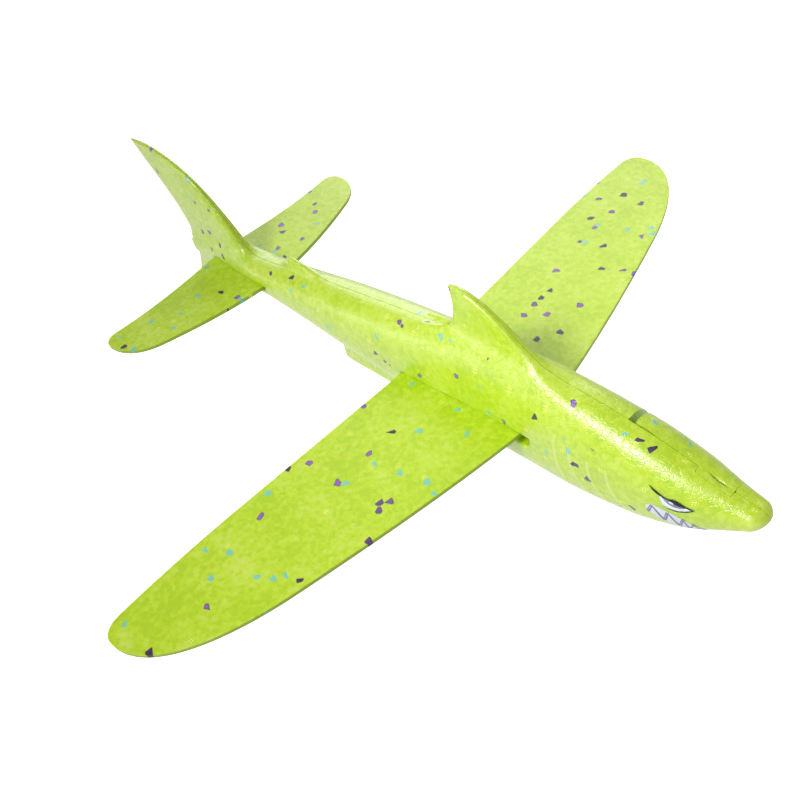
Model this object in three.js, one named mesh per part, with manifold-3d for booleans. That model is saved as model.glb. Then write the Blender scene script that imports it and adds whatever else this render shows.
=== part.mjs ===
// Hand-launch foam glider shaped like a shark.
// Millimetres. +X points to the nose, +Y to the port (left) wing tip, +Z up.
// The airframe is drawn about the wing: z = 0 is the wing's upper face, y = 0 the plane of symmetry.
// The last group then moves it so that its origin is under the middle of its box.

import * as THREE from 'three';
import { LoftGeometry } from 'three/addons/geometries/LoftGeometry.js';
import { mergeVertices } from 'three/addons/utils/BufferGeometryUtils.js';
import Module from 'manifold-3d';

const wasm = await Module();
wasm.setup();

// ---------------------------------------------------------------- driving dimensions

const HALF_SPAN = 238.5;
const NOSE_X = 187;
const TAIL_TIP_X = -301;
const KEEL_BOTTOM_Z = -41;
const GAP = 0.3;              // clearance between a foam piece and the piece that cuts it
const SMALL_GAP = 0.05;       // clearance between neighbours inside the light unit
const FAR = 400;              // well beyond the airframe, for cutting boxes

const WING = {
  thickness: 3,
  rootLeadingX: 56.5,
  rootTrailingX: -35.2,
  sweptTrailingX: -43.5,      // the straight trailing edge ends here, at sweptTrailingY
  sweptTrailingY: 155,
  slotAhead: 4,               // the slot runs on ahead of the leading edge
  slotScoop: 5.5,             // and is scooped out below the wing there
  tipRows: 8
};

const TAILPLANE = {
  thickness: 3,
  topZ: 8.5,
  halfSpan: 111,
  rootLeadingX: -171.5,
  rootTrailingX: -234.5,
  slotAhead: 2,
  tipRows: 6
};
const SLOT_REACH = 40;        // the slots are cut to beyond the fuselage sides

// Fuselage sections: x, top, bottom, half width. Each section is a superellipse.
const FUSELAGE_STATIONS = [
  [-262, 13, 4, 2.5],
  [-235, 18, -2, 6.5],
  [-187, 20, -3, 12.4],
  [-138, 24.6, -8.5, 14.8],
  [-88, 30.4, -16, 17.4],
  [-39, 34.8, -24.6, 18.2],
  [10, 38, -33, 17.8],
  [49, 37.4, -36, 18.4],
  [84, 34.3, -35.2, 20],
  [118, 27.8, -30.2, 20.2],
  [147, 19.9, -21.9, 17.5],
  [170, 12.4, -9.8, 11.7],
  [NOSE_X, 7.8, 0.8, 7.4]
];
const FUSELAGE_EXPONENT = 2.5;
const FUSELAGE_ROW_LENGTH = 13;
const NOSE_ROUND_X = 181;     // the nose is rounded from here to NOSE_X
const NOSE_ROWS = 5;
const NOSE_FLAT_ANGLE = 86;   // degrees of rounding; a small flat is left at the tip
const RING_POINTS = 28;

// Fin sections are superellipses that thin out towards the trailing edge.
const FIN_EXPONENT = 3.5;
const FIN_THINNING = 0.5;
const FIN_RING_POINTS = 16;

// The nose pocket, its hatch in the port side, and the light unit that they hold.
const HATCH = {
  openingX: 111.6,
  rearX: 115,
  frontX: 168.5,
  bottomZ: -8,
  tongueX: 150,
  tongueWidth: 3.8,
  tongueRearZ: 16,            // of its underside, which slopes down towards the nose
  tongueSlope: 0.32
};
const CASE = {
  rear: 124, front: 158, starboard: -8, port: 5, bottom: -7, top: 11, wall: 1.2,
  ribX: 146.6, ribThickness: 0.8
};
const CASE_CLEARANCE = 0.4;
const LID = { thickness: 1.2, gap: 0.1, slotMargin: 0.3, holeMargin: 0.15 };
const HATCH_RECESS_Y = 8.2;   // room for the lid, its screw and the switch knob

// Inside the case, heights count from its bottom.
const CELL = {
  count: 3, radius: 5.8, length: 5.4, rearX: 129.6, y: -0.9, z: CASE.bottom + 9, gap: 0.06,
  capInset: 0.9, capHeight: 0.6, chamfer: 0.3
};
const SPRING = { turns: 3, wideRadius: 4.2, narrowRadius: 2.4, wireRadius: 0.25, endGap: 0.35 };
const CONTACT = {
  thickness: 0.4, starboard: -5, port: 3, bottom: CASE.bottom + 5, top: CASE.bottom + 15.6,
  tailPort: -4.2, tailBottom: CASE.bottom + 13.6, tailTop: CASE.bottom + 15.4
};
const NOTCH = { port: -3.6, bottom: CASE.bottom + 13, top: CASE.bottom + 16 };
const LED = {
  radius: 2.5, flangeRadius: 2.9, flange: 1, baseX: 152, domeX: 160.1, y: -1, z: CASE.bottom + 8.8,
  leadSpacing: 2.54, leadWidth: 0.5, leadReach: 1.6, boreRadius: 3.1, boreEndX: 163.6
};
const BOARD = {
  rear: 147.8, front: 156.4, y: -5.5, thickness: 0.8, bottom: CASE.bottom + 6.1, top: CASE.bottom + 16.4
};
const SWITCH = { rear: 148.4, front: 156, port: 1, bottom: CASE.bottom + 12.7, height: 3.6 };
const KNOB = {
  rear: SWITCH.rear + 1.8, width: 2, height: 1.6, travel: 2, tipY: 7.4, z: SWITCH.bottom + SWITCH.height / 2
};
const SCREW = {
  x: 154, z: CASE.bottom + 3.4, radius: 0.85, length: 8, headRadius: 1.9, headHeight: 1.1,
  bossRadius: 1.9, crossArm: 1.1, crossWidth: 0.5
};

// The eye and teeth are printed film that follows the head.
const FILM = { gap: 0.05, thickness: 0.3, fromX: 120 };

// ---------------------------------------------------------------- materials

const foamColour = 0xb7e01c;

const material = (color, roughness, metalness = 0) =>
  new THREE.MeshStandardMaterial({ color, roughness, metalness });

const foam = () => material(foamColour, 0.55);
const printedFilm = (color) => material(color, 0.4);
const blackPlastic = () => material(0x1c1d20, 0.45);
const steel = () => material(0xb9bcc0, 0.3, 1);

// ---------------------------------------------------------------- solids and booleans

function solidOf(geometry) {
  const bare = new THREE.BufferGeometry();
  bare.setAttribute('position', geometry.getAttribute('position'));
  bare.setIndex(geometry.index);
  const merged = mergeVertices(bare, 1e-4);
  return new wasm.Manifold(new wasm.Mesh({
    numProp: 3,
    vertProperties: merged.attributes.position.array,
    triVerts: new Uint32Array(merged.index.array)
  }));
}

function geometryOf(solid) {
  const { vertProperties, triVerts } = solid.getMesh();
  const geometry = new THREE.BufferGeometry();
  geometry.setAttribute('position', new THREE.BufferAttribute(vertProperties, 3));
  geometry.setIndex(new THREE.BufferAttribute(triVerts, 1));
  geometry.computeVertexNormals();
  return geometry;
}

function boxSolid(x0, x1, y0, y1, z0, z1) {
  const box = new THREE.BoxGeometry(x1 - x0, y1 - y0, z1 - z0);
  return solidOf(box.translate((x0 + x1) / 2, (y0 + y1) / 2, (z0 + z1) / 2));
}

// A round bar from one end to the other along X, or along Y when the flag says so.
function barSolid(radius, from, to, across1, across2, alongY = false, segments = 24) {
  const bar = new THREE.CylinderGeometry(radius, radius, to - from, segments);
  if (alongY) {
    bar.translate(across1, (from + to) / 2, across2);
  } else {
    bar.rotateZ(Math.PI / 2).translate((from + to) / 2, across1, across2);
  }
  return solidOf(bar);
}

function named(name, geometry, look) {
  const mesh = new THREE.Mesh(geometry, look);
  mesh.name = name;
  return mesh;
}

// ---------------------------------------------------------------- smooth profiles

// A curve through [x, value, ...] rows that never overshoots them (monotone cubic).
function profileThrough(rows, column) {
  const xs = rows.map((row) => row[0]);
  const ys = rows.map((row) => row[column]);
  const lastSpan = xs.length - 2;
  const slopes = xs.slice(1).map((x, i) => (ys[i + 1] - ys[i]) / (x - xs[i]));
  const tangents = xs.map((_, i) => {
    const before = slopes[Math.max(i - 1, 0)];
    const after = slopes[Math.min(i, slopes.length - 1)];
    return before * after <= 0 ? 0 : 2 * before * after / (before + after);
  });
  return (x) => {
    const passed = xs.filter((knot) => knot <= x).length;
    const i = THREE.MathUtils.clamp(passed - 1, 0, lastSpan);
    const span = xs[i + 1] - xs[i];
    const t = (x - xs[i]) / span;
    const u = 1 - t;
    return ys[i] * u * u * (1 + 2 * t) + ys[i + 1] * t * t * (3 - 2 * t)
      + span * t * u * (tangents[i] * u - tangents[i + 1] * t);
  };
}

// Points of a superellipse, counterclockwise in its own two directions.
function superellipse(halfA, halfB, exponent, count) {
  return Array.from({ length: count }, (_, i) => {
    const angle = 2 * Math.PI * i / count;
    const bend = (v) => Math.sign(v) * Math.abs(v) ** (2 / exponent);
    return [halfA * bend(Math.cos(angle)), halfB * bend(Math.sin(angle))];
  });
}

// ---------------------------------------------------------------- fuselage

const topAt = profileThrough(FUSELAGE_STATIONS, 1);
const bottomAt = profileThrough(FUSELAGE_STATIONS, 2);
const halfWidthAt = profileThrough(FUSELAGE_STATIONS, 3);

// One row of the fuselage, scaled about its middle and then grown by a skin thickness.
function fuselageRing(x, scale, skin) {
  const top = topAt(x);
  const bottom = bottomAt(x);
  const halfWidth = halfWidthAt(x) * scale + skin;
  const halfHeight = (top - bottom) / 2 * scale + skin;
  return superellipse(halfWidth, halfHeight, FUSELAGE_EXPONENT, RING_POINTS)
    .map(([y, dz]) => new THREE.Vector3(x, y, (top + bottom) / 2 + dz));
}

function fuselageRings(skin = 0, fromX = FUSELAGE_STATIONS[0][0]) {
  const rings = [];
  const rows = Math.ceil((NOSE_ROUND_X - fromX) / FUSELAGE_ROW_LENGTH);
  for (let i = 0; i <= rows; i++) {
    rings.push(fuselageRing(fromX + (NOSE_ROUND_X - fromX) * i / rows, 1, skin));
  }
  const noseTurn = THREE.MathUtils.degToRad(NOSE_FLAT_ANGLE);
  for (let i = 1; i <= NOSE_ROWS; i++) {
    const angle = noseTurn * i / NOSE_ROWS;
    const x = NOSE_ROUND_X + (NOSE_X - NOSE_ROUND_X + skin) * Math.sin(angle);
    rings.push(fuselageRing(x, Math.cos(angle), skin));
  }
  return rings;
}

const fuselageSolid = (skin = 0, fromX = FUSELAGE_STATIONS[0][0]) =>
  solidOf(new LoftGeometry(fuselageRings(skin, fromX), { capStart: true, capEnd: true }));

// ---------------------------------------------------------------- fins

// The x of a curve drawn in [x, z] at a given height, by halving; z runs one way along the curve.
function xAtHeight(curve, z) {
  const rises = curve.getPoint(1).y > curve.getPoint(0).y;
  let low = 0;
  let high = 1;
  for (let step = 0; step < 30; step++) {
    const middle = (low + high) / 2;
    const isShort = rises ? curve.getPoint(middle).y < z : curve.getPoint(middle).y > z;
    if (isShort) low = middle;
    else high = middle;
  }
  return curve.getPoint(low).x;
}

// A fin is lofted upwards (or downwards) between two curves that share their end heights.
function finSolid({ leading, trailing, rootThickness, tipThickness, rows }) {
  const rootZ = leading.getPoint(0).y;
  const tipZ = leading.getPoint(1).y;
  const rings = [];
  for (let i = 0; i <= rows; i++) {
    const share = i / rows;
    const z = rootZ + (tipZ - rootZ) * share;
    const front = xAtHeight(leading, z);
    const back = xAtHeight(trailing, z);
    const chord = front - back;
    const thickness = rootThickness + (tipThickness - rootThickness) * share;
    const ring = superellipse(chord / 2, thickness / 2, FIN_EXPONENT, FIN_RING_POINTS)
      .map(([dx, y]) => {
        const backward = 0.5 - dx / chord;
        return new THREE.Vector3(back + chord / 2 + dx, y * (1 - FIN_THINNING * backward), z);
      });
    rings.push(tipZ > rootZ ? ring : ring.reverse());
  }
  return solidOf(new LoftGeometry(rings, { capStart: true, capEnd: true }));
}

const bezier = (...xz) => new THREE.CubicBezierCurve(
  ...xz.map(([x, z]) => new THREE.Vector2(x, z)));

const dorsalFin = () => finSolid({
  leading: bezier([74, 28], [52, 42], [32, 70], [6, 71.5]),
  trailing: bezier([-14, 28], [0, 38], [5, 52], [2, 71.5]),
  rootThickness: 14,
  tipThickness: 5,
  rows: 11
});

const rearDorsalFin = () => finSolid({
  leading: bezier([-98, 20], [-112, 27], [-126, 33], [-143, 34.5]),
  trailing: bezier([-152, 20], [-149, 25], [-149, 30], [-149, 34.5]),
  rootThickness: 11,
  tipThickness: 3.5,
  rows: 5
});

const caudalFin = () => finSolid({
  leading: bezier([-182, 4], [-213, 40], [-224, 86], [TAIL_TIP_X + 3, 86]),
  trailing: bezier([-267, 4], [-261, 36], [-287, 60], [TAIL_TIP_X, 86]),
  rootThickness: 15,
  tipThickness: 4,
  rows: 11
});

const lowerTailLobe = () => finSolid({
  leading: bezier([-208, 8], [-238, -4], [-262, -24], [-285, -38]),
  trailing: bezier([-268, 8], [-271, -8], [-279, -22], [-290, -38]),
  rootThickness: 11,
  tipThickness: 3.5,
  rows: 7
});

const gripKeel = () => finSolid({
  leading: bezier([20, -5], [14, -28], [-25, -39], [-66, KEEL_BOTTOM_Z]),
  trailing: bezier([-112, -5], [-115, -18], [-118, -30], [-117, KEEL_BOTTOM_Z]),
  rootThickness: 12,
  tipThickness: 6.5,
  rows: 8
});

// ---------------------------------------------------------------- wing and tailplane

// Half outlines from the leading edge at the root, round the tip, to the trailing edge.
function wingHalf(shape, side) {
  const tipY = HALF_SPAN * side;
  shape.bezierCurveTo(49.5, 54 * side, 37.6, 108 * side, 24.1, 162 * side);
  shape.bezierCurveTo(14.6, 200 * side, -4, tipY, -33, tipY);
  shape.quadraticCurveTo(-43, tipY, -43.8, 226 * side);
  shape.quadraticCurveTo(-45, 190 * side, WING.sweptTrailingX, WING.sweptTrailingY * side);
  shape.lineTo(WING.rootTrailingX, 0);
}

function tailplaneHalf(shape, side) {
  const tipY = TAILPLANE.halfSpan * side;
  shape.bezierCurveTo(-172.5, 28 * side, -181, 60 * side, -192, 90 * side);
  shape.bezierCurveTo(-197.5, 103 * side, -208, tipY, -222, tipY);
  shape.quadraticCurveTo(-231, tipY, -231.8, 102 * side);
  shape.bezierCurveTo(-229, 75 * side, -229, 55 * side, -234, 14 * side);
  shape.lineTo(TAILPLANE.rootTrailingX, 0);
}

// Both halves of a sheet as one outline: out round the port side, back round the other.
function mirroredOutline(leadingX, drawHalf, divisions) {
  const halfPoints = (side) => {
    const shape = new THREE.Path();
    shape.moveTo(leadingX, 0);
    drawHalf(shape, side);
    return shape.getPoints(divisions);
  };
  const port = halfPoints(1);
  const starboard = halfPoints(-1).reverse().slice(1, -1);
  return new THREE.Shape([...port, ...starboard]);
}

function sheet(outline, thickness, topZ) {
  const geometry = new THREE.ExtrudeGeometry(outline, { depth: thickness, bevelEnabled: false });
  return geometry.translate(0, 0, topZ - thickness);
}

const wingGeometry = () =>
  sheet(mirroredOutline(WING.rootLeadingX, wingHalf, WING.tipRows), WING.thickness, 0);

const tailplaneGeometry = () => sheet(
  mirroredOutline(TAILPLANE.rootLeadingX, tailplaneHalf, TAILPLANE.tipRows),
  TAILPLANE.thickness, TAILPLANE.topZ);

// The wing slot follows the swept trailing edge on both sides and stops ahead of the leading edge.
function wingSlot() {
  const sweep = (WING.rootTrailingX - WING.sweptTrailingX) / WING.sweptTrailingY;
  const rear = WING.rootTrailingX - GAP;
  const front = WING.rootLeadingX + WING.slotAhead;
  const outline = new THREE.Shape([
    new THREE.Vector2(front, -SLOT_REACH),
    new THREE.Vector2(front, SLOT_REACH),
    new THREE.Vector2(rear - sweep * SLOT_REACH, SLOT_REACH),
    new THREE.Vector2(rear, 0),
    new THREE.Vector2(rear - sweep * SLOT_REACH, -SLOT_REACH)
  ]);
  const slit = solidOf(sheet(outline, WING.thickness + 2 * GAP, GAP));
  const radius = WING.slotScoop;
  const scoop = barSolid(radius, -SLOT_REACH, SLOT_REACH, front - radius, -WING.thickness, true);
  const below = boxSolid(front - 2 * radius, front, -SLOT_REACH, SLOT_REACH,
    -WING.thickness - radius, GAP);
  return slit.add(scoop.intersect(below));
}

const tailplaneSlot = () => boxSolid(
  TAILPLANE.rootTrailingX - GAP, TAILPLANE.rootLeadingX + TAILPLANE.slotAhead,
  -SLOT_REACH, SLOT_REACH,
  TAILPLANE.topZ - TAILPLANE.thickness - GAP, TAILPLANE.topZ + GAP);

// ---------------------------------------------------------------- nose pocket and hatch

const casePocket = () => boxSolid(
  CASE.rear - CASE_CLEARANCE, CASE.front + CASE_CLEARANCE,
  CASE.starboard - CASE_CLEARANCE, HATCH_RECESS_Y,
  CASE.bottom - CASE_CLEARANCE, CASE.top + CASE_CLEARANCE
).add(barSolid(LED.boreRadius, CASE.front, LED.boreEndX, LED.y, LED.z));

// The hatch takes the port side of the head; its tongue crosses the seam near its front end.
function hatchRegion(rearX, clearance) {
  const port = boxSolid(rearX, HATCH.frontX + clearance, GAP / 2 - clearance, FAR,
    HATCH.bottomZ - clearance, FAR);
  const underside = HATCH.tongueRearZ + HATCH.tongueSlope * HATCH.tongueX - clearance;
  const tongue = boxSolid(HATCH.tongueX - clearance, HATCH.frontX + clearance,
    -HATCH.tongueWidth - clearance, 1, HATCH.bottomZ, FAR)
    .trimByPlane([HATCH.tongueSlope, 0, 1], underside / Math.hypot(HATCH.tongueSlope, 1));
  return port.add(tongue);
}

function foamPieces() {
  const shell = [dorsalFin(), rearDorsalFin(), caudalFin(), lowerTailLobe(), gripKeel()]
    .reduce((whole, fin) => whole.add(fin), fuselageSolid())
    .subtract(wingSlot())
    .subtract(tailplaneSlot())
    .subtract(casePocket());
  const body = shell.subtract(hatchRegion(HATCH.openingX, GAP));
  const left = boxSolid(-FAR, FAR, GAP / 2, FAR, -FAR, FAR);
  const right = boxSolid(-FAR, FAR, -FAR, -GAP / 2, -FAR, FAR);
  return {
    left: body.intersect(left),
    right: body.intersect(right),
    hatch: shell.intersect(hatchRegion(HATCH.rearX, 0))
  };
}

// ---------------------------------------------------------------- printed film decals

// A decal is the part of a thin skin over the head that lies inside an outline drawn in X and Z.
function decalSolid(outline, side) {
  const skin = fuselageSolid(FILM.gap + FILM.thickness, FILM.fromX)
    .subtract(fuselageSolid(FILM.gap, FILM.fromX - 1));
  const prism = new THREE.ExtrudeGeometry(outline,
    { depth: FAR, bevelEnabled: false, curveSegments: 6 });
  prism.rotateX(Math.PI / 2);
  if (side > 0) prism.translate(0, FAR, 0);
  return skin.intersect(solidOf(prism));
}

// A narrowed eye under a long brow stroke, with its front corner at the first point.
function eyeOutline() {
  const shape = new THREE.Shape();
  shape.moveTo(158.6, 5);
  shape.quadraticCurveTo(152.5, 9, 147.5, 8);
  shape.quadraticCurveTo(141.5, 8.4, 134.8, 12.2);
  shape.lineTo(134.4, 11.5);
  shape.quadraticCurveTo(138, 8.6, 140.8, 7.4);
  shape.quadraticCurveTo(140.8, 4, 141.6, 1.6);
  shape.quadraticCurveTo(150, -1, 158.6, 5);
  return shape;
}

// The mouth is a leaf that tapers towards the nose.
function mouthOutline() {
  const shape = new THREE.Shape();
  shape.moveTo(166, -8.6);
  shape.quadraticCurveTo(150, -2.6, 133, -0.2);
  shape.lineTo(132.4, -6.4);
  shape.quadraticCurveTo(148, -14.5, 166, -8.6);
  return shape;
}

// ---------------------------------------------------------------- light unit

function lightCase() {
  const { rear, front, starboard, port, bottom, top, wall, ribX, ribThickness } = CASE;
  const half = wall / 2;
  const hollow = boxSolid(rear + wall, front - wall, starboard + wall, port + 1,
    bottom + wall, top - wall);
  const rib = boxSolid(ribX, ribX + ribThickness, starboard + half, port - GAP,
    bottom + half, top - half);
  const wireNotch = boxSolid(ribX - 1, ribX + ribThickness + 1, starboard + wall, NOTCH.port,
    NOTCH.bottom, NOTCH.top);
  const boss = barSolid(SCREW.bossRadius, starboard + half, port - LID.gap, SCREW.x, SCREW.z, true);
  const bossBore = barSolid(SCREW.radius + 2 * SMALL_GAP, port - SCREW.length, port + 1,
    SCREW.x, SCREW.z, true);
  const ledHole = barSolid(LED.radius + 2 * SMALL_GAP, front - wall - 1, front + 1, LED.y, LED.z);
  return boxSolid(rear, front, starboard, port, bottom, top)
    .subtract(hollow)
    .add(rib.subtract(wireNotch))
    .add(boss)
    .subtract(bossBore)
    .subtract(ledHole);
}

function lightLid() {
  const y0 = CASE.port + LID.gap;
  const y1 = y0 + LID.thickness;
  const slotHalfHeight = KNOB.height / 2 + LID.slotMargin;
  const plate = boxSolid(CASE.rear, CASE.front, y0, y1, CASE.bottom, CASE.top);
  const slot = boxSolid(
    KNOB.rear - LID.slotMargin, KNOB.rear + KNOB.width + KNOB.travel + LID.slotMargin,
    y0 - 1, y1 + 1,
    KNOB.z - slotHalfHeight, KNOB.z + slotHalfHeight);
  const hole = barSolid(SCREW.radius + LID.holeMargin, y0 - 1, y1 + 1, SCREW.x, SCREW.z, true);
  return plate.subtract(slot).subtract(hole);
}

// A pan-head screw with a cross recess, pointing towards starboard.
function lidScrew() {
  const { radius, length, headRadius, headHeight, crossArm, crossWidth } = SCREW;
  const under = CASE.port + LID.gap + LID.thickness + SMALL_GAP;
  const tip = under - length;
  const profile = [
    [0, tip], [radius * 0.4, tip], [radius, tip + 1],
    [radius, under], [headRadius, under],
    [headRadius, under + headHeight * 0.5],
    [headRadius * 0.7, under + headHeight], [0, under + headHeight]
  ].map(([r, y]) => new THREE.Vector2(r, y));
  const lathe = new THREE.LatheGeometry(profile, 20).translate(SCREW.x, 0, SCREW.z);
  const blade = (halfX, halfZ) => boxSolid(SCREW.x - halfX, SCREW.x + halfX,
    under + headHeight * 0.4, under + 2, SCREW.z - halfZ, SCREW.z + halfZ);
  return solidOf(lathe)
    .subtract(blade(crossArm, crossWidth / 2))
    .subtract(blade(crossWidth / 2, crossArm));
}

// A button cell lying along the nose; its narrower negative cap stands proud at the rear.
function buttonCell(index) {
  const { radius, length, gap, capInset, capHeight, chamfer } = CELL;
  const x = CELL.rearX + index * (length + gap);
  const capRadius = radius - capInset;
  const profile = [
    [0, 0], [capRadius, 0], [capRadius, capHeight],
    [radius - chamfer, capHeight], [radius, capHeight + chamfer],
    [radius, length - chamfer], [radius - chamfer, length], [0, length]
  ].map(([r, h]) => new THREE.Vector2(r, h));
  return new THREE.LatheGeometry(profile, 24)
    .rotateZ(-Math.PI / 2)
    .translate(x, CELL.y, CELL.z);
}

// A coil that widens towards the case wall, pressed against the last cell.
class CoilCurve extends THREE.Curve {
  getPoint(t, target = new THREE.Vector3()) {
    const angle = 2 * Math.PI * SPRING.turns * t;
    const radius = THREE.MathUtils.lerp(SPRING.wideRadius, SPRING.narrowRadius, t);
    const start = CASE.rear + CASE.wall + SPRING.endGap;
    const reach = CELL.rearX - start - SPRING.endGap;
    return target.set(start + reach * t,
      CELL.y + radius * Math.cos(angle), CELL.z + radius * Math.sin(angle));
  }
}

function contactSpring() {
  const wire = new THREE.Shape();
  wire.absarc(0, 0, SPRING.wireRadius, 0, 2 * Math.PI);
  return new THREE.ExtrudeGeometry(wire,
    { steps: 14 * SPRING.turns, curveSegments: 3, extrudePath: new CoilCurve() });
}

// A flat tab that the front cell presses on, with a tail through the notch in the rib.
function contactPlate() {
  const { thickness, starboard, port, bottom, top, tailPort, tailBottom, tailTop } = CONTACT;
  const face = CELL.rearX + CELL.count * (CELL.length + CELL.gap);
  const tailEnd = CASE.ribX + CASE.ribThickness + thickness / 2;
  const tab = boxSolid(face, face + thickness, starboard, port, bottom, top);
  const tail = boxSolid(face, tailEnd, starboard, tailPort, tailBottom, tailTop);
  return tab.add(tail);
}

const circuitBoard = () => boxSolid(
  BOARD.rear, BOARD.front, BOARD.y, BOARD.y + BOARD.thickness, BOARD.bottom, BOARD.top);

const switchHousing = () => boxSolid(
  SWITCH.rear, SWITCH.front,
  BOARD.y + BOARD.thickness + SMALL_GAP, SWITCH.port,
  SWITCH.bottom, SWITCH.bottom + SWITCH.height);

const switchKnob = () => boxSolid(
  KNOB.rear, KNOB.rear + KNOB.width,
  SWITCH.port + SMALL_GAP, KNOB.tipY,
  KNOB.z - KNOB.height / 2, KNOB.z + KNOB.height / 2);

// A round-headed lamp lying along the nose.
function ledLamp() {
  const bodyLength = LED.domeX - LED.baseX;
  const dome = Array.from({ length: 5 }, (_, i) => {
    const angle = Math.PI / 2 * (i + 1) / 5;
    return [LED.radius * Math.cos(angle), bodyLength + LED.radius * Math.sin(angle)];
  });
  dome[dome.length - 1][0] = 0;
  const profile = [
    [0, 0], [LED.flangeRadius, 0], [LED.flangeRadius, LED.flange],
    [LED.radius, LED.flange], [LED.radius, bodyLength], ...dome
  ].map(([r, h]) => new THREE.Vector2(r, h));
  return new THREE.LatheGeometry(profile, 24)
    .rotateZ(-Math.PI / 2)
    .translate(LED.baseX, LED.y, LED.z);
}

// A lead runs back from the lamp and bends down to the board.
function ledLead(offsetZ) {
  const half = LED.leadWidth / 2;
  const end = LED.baseX - SMALL_GAP;
  const bend = end - LED.leadReach;
  const foot = BOARD.y + BOARD.thickness + SMALL_GAP;
  const elbow = new THREE.Shape([
    [end, LED.y - half], [end, LED.y + half], [bend - LED.leadWidth, LED.y + half],
    [bend - LED.leadWidth, foot], [bend, foot], [bend, LED.y - half]
  ].map(([x, y]) => new THREE.Vector2(x, y)));
  return new THREE.ExtrudeGeometry(elbow, { depth: LED.leadWidth, bevelEnabled: false })
    .translate(0, 0, LED.z + offsetZ - half);
}

// ---------------------------------------------------------------- assembly

function airframe() {
  const group = new THREE.Group();
  const foamSolids = foamPieces();
  group.add(
    named('fuselage_left', geometryOf(foamSolids.left), foam()),
    named('fuselage_right', geometryOf(foamSolids.right), foam()),
    named('nose_hatch', geometryOf(foamSolids.hatch), foam()),
    named('main_wing', wingGeometry(), foam()),
    named('tailplane', tailplaneGeometry(), foam())
  );
  for (const [side, label] of [[1, 'left'], [-1, 'right']]) {
    const eye = geometryOf(decalSolid(eyeOutline(), side));
    const teeth = geometryOf(decalSolid(mouthOutline(), side));
    group.add(
      named(`eye_decal_${label}`, eye, printedFilm(0xe8ecf2)),
      named(`teeth_decal_${label}`, teeth, printedFilm(0xc9cedd))
    );
  }
  return group;
}

function lightUnit() {
  const group = new THREE.Group();
  group.add(
    named('light_case', geometryOf(lightCase()), blackPlastic()),
    named('light_lid', geometryOf(lightLid()), blackPlastic()),
    named('lid_screw', geometryOf(lidScrew()), steel()),
    named('negative_spring', contactSpring(), steel()),
    named('positive_contact', geometryOf(contactPlate()), steel()),
    named('circuit_board', geometryOf(circuitBoard()), material(0x2c7a45, 0.5)),
    named('switch_housing', geometryOf(switchHousing()), steel()),
    named('switch_knob', geometryOf(switchKnob()), blackPlastic()),
    named('led_lamp', ledLamp(), material(0xf4f7fb, 0.1)),
    named('led_lead_anode', ledLead(LED.leadSpacing / 2), steel()),
    named('led_lead_cathode', ledLead(-LED.leadSpacing / 2), steel())
  );
  for (let i = 0; i < CELL.count; i++) {
    group.add(named(`battery_cell_${i + 1}`, buttonCell(i), steel()));
  }
  return group;
}

const glider = new THREE.Group();
glider.name = 'toy_airplane';
glider.add(airframe(), lightUnit());
glider.position.set(-(NOSE_X + TAIL_TIP_X) / 2, 0, -KEEL_BOTTOM_Z);

export default glider;
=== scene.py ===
"""Foam hand-launch glider in a shark's shape: the looks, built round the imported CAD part.

Shapes are drawn in millimetres about the wing, as the CAD part is: z = 0 is the wing's upper face,
y = 0 the plane of symmetry, +X the nose and +Y the left wing tip. to_row() carries them to the row
frame, in metres. The foam body is one smooth distance field, cut into its glued halves and its hatch,
then turned into meshes.
"""

import bmesh
import bpy
import numpy as np
from mathutils import Matrix, Vector


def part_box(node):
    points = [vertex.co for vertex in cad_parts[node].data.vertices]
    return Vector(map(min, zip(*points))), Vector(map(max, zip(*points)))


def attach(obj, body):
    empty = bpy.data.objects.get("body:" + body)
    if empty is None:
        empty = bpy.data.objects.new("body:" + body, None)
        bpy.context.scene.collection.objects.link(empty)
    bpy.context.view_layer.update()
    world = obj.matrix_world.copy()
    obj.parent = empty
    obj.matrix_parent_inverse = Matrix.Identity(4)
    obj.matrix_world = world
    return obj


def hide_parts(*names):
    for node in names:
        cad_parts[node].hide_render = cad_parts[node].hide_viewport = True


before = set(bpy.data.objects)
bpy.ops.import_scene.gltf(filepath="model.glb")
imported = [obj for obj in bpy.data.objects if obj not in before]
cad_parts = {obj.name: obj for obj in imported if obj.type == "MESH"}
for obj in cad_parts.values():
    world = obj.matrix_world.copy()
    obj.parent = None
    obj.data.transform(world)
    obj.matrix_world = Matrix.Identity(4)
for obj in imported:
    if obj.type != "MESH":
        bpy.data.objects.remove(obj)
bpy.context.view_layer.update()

# ------------ driving dimensions, in mm

HALF_SPAN = 238.5
NOSE_X = 187.0
TAIL_TIP_X = -301.0
KEEL_BOTTOM_Z = -41.0
GAP = 0.3  # between a foam piece and the piece next to it

WING_THICKNESSES = (3.0, 2.2)  # at its root and at its tips
ROOT_LEADING_X = 56.5
ROOT_TRAILING_X = -35.2
SWEPT_TRAILING_X = -43.5
SWEPT_TRAILING_Y = 155.0
SLOT_FRONT_X = ROOT_LEADING_X + 4
SLOT_SCOOP = 5.5

TAIL_THICKNESSES = (3.0, 2.4)
TAIL_TOP_Z = 8.5
TAIL_HALF_SPAN = 111.0
TAIL_LEADING_X = -171.5
TAIL_TRAILING_X = -234.5
TAIL_SLOT_ROOM = 2.0  # ahead of the tailplane's leading edge

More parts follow.
